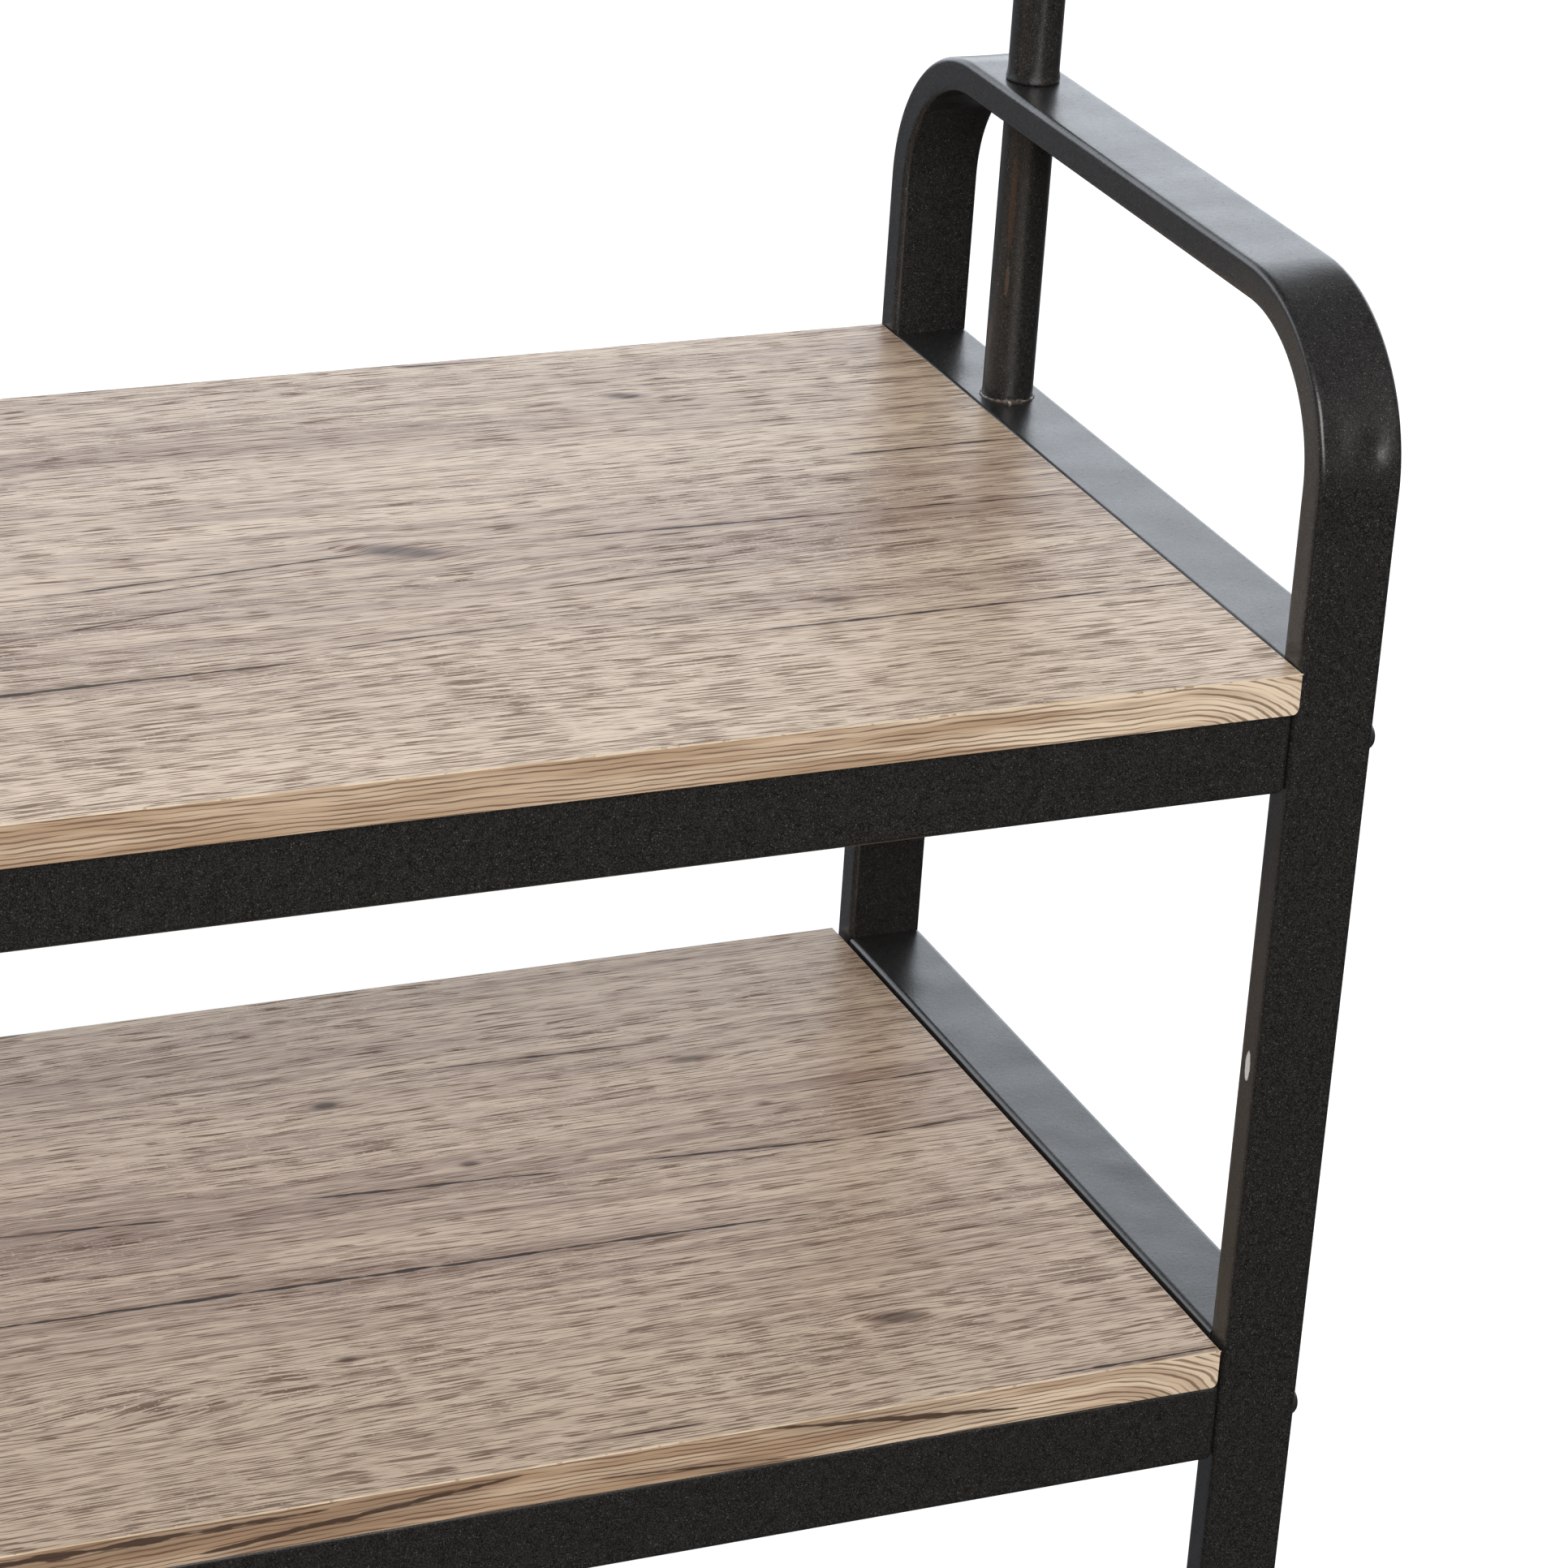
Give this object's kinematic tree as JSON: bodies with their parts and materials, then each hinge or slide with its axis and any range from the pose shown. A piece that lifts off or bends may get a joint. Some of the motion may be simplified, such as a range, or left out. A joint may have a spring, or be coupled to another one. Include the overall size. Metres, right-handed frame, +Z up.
{
  "type": "entryway bench",
  "caption": "Entryway bench with bent flat-tube end hoops, a laminated seat and shoe shelf, and a round-tube coat arch with hooks.",
  "frame": {"origin": "on the floor, midway between the two end hoops and midway between the front and back legs", "axes": "+Z up, +X towards the right-hand hoop, +Y towards the back, where the coat arch stands"},
  "size_m": [0.9066, 0.356, 1.8],
  "materials": {
    "black_powder_coat": "semi-gloss black powder coat on steel tube, fine orange peel",
    "oak_laminate": "matte greyish oak-look laminate on fibreboard, yellower edge band",
    "black_fasteners": "black oxide, satin",
    "zinc_steel": "zinc plate",
    "black_nylon": "moulded black nylon"
  },
  "bodies": {
    "bench": {"arch_spigot_left": "black_powder_coat", "arch_spigot_right": "black_powder_coat", "coat_arch": "black_powder_coat", "coat_hook_1": "black_powder_coat", "coat_hook_2": "black_powder_coat", "coat_hook_3": "black_powder_coat", "coat_hook_4": "black_powder_coat", "coat_hook_5": "black_powder_coat", "end_hoop_left": "black_powder_coat", "end_hoop_right": "black_powder_coat", "frame_bolts": "black_fasteners", "hook_rail": "black_powder_coat", "hook_rail_bolts": "black_fasteners", "hook_rail_end_left": "black_powder_coat", "hook_rail_end_right": "black_powder_coat", "hook_screws": "black_fasteners", "hoop_spigot_left": "black_powder_coat", "hoop_spigot_right": "black_powder_coat", "leg_plug_back_left": "black_nylon", "leg_plug_back_right": "black_nylon", "leg_plug_front_left": "black_nylon", "leg_plug_front_right": "black_nylon", "post_socket_left": "black_powder_coat", "post_socket_right": "black_powder_coat", "rail_end_plates": "black_powder_coat", "rail_weld_nuts": "zinc_steel", "seat_back_rail": "black_powder_coat", "seat_board": "oak_laminate", "seat_board_screws": "black_fasteners", "seat_end_rail_left": "black_powder_coat", "seat_end_rail_right": "black_powder_coat", "seat_front_rail": "black_powder_coat", "shelf_back_rail": "black_powder_coat", "shelf_board": "oak_laminate", "shelf_board_screws": "black_fasteners", "shelf_end_rail_left": "black_powder_coat", "shelf_end_rail_right": "black_powder_coat", "shelf_front_rail": "black_powder_coat", "tube_lock_screws": "black_fasteners", "upright_left": "black_powder_coat", "upright_right": "black_powder_coat"},
    "foot_front_left": {"foot_pad_front_left": "black_nylon", "foot_stem_front_left": "zinc_steel"},
    "foot_back_left": {"foot_pad_back_left": "black_nylon", "foot_stem_back_left": "zinc_steel"},
    "foot_front_right": {"foot_pad_front_right": "black_nylon", "foot_stem_front_right": "zinc_steel"},
    "foot_back_right": {"foot_pad_back_right": "black_nylon", "foot_stem_back_right": "zinc_steel"}
  },
  "joints": [
    {"name": "foot_front_left_screw", "type": "slide", "parent": "bench", "child": "foot_front_left", "axis": [0, 0, -1], "range_m": [-0.005, 0.01]},
    {"name": "foot_back_left_screw", "type": "slide", "parent": "bench", "child": "foot_back_left", "axis": [0, 0, -1], "range_m": [-0.005, 0.01]},
    {"name": "foot_front_right_screw", "type": "slide", "parent": "bench", "child": "foot_front_right", "axis": [0, 0, -1], "range_m": [-0.005, 0.01]},
    {"name": "foot_back_right_screw", "type": "slide", "parent": "bench", "child": "foot_back_right", "axis": [0, 0, -1], "range_m": [-0.005, 0.01]}
  ]
}
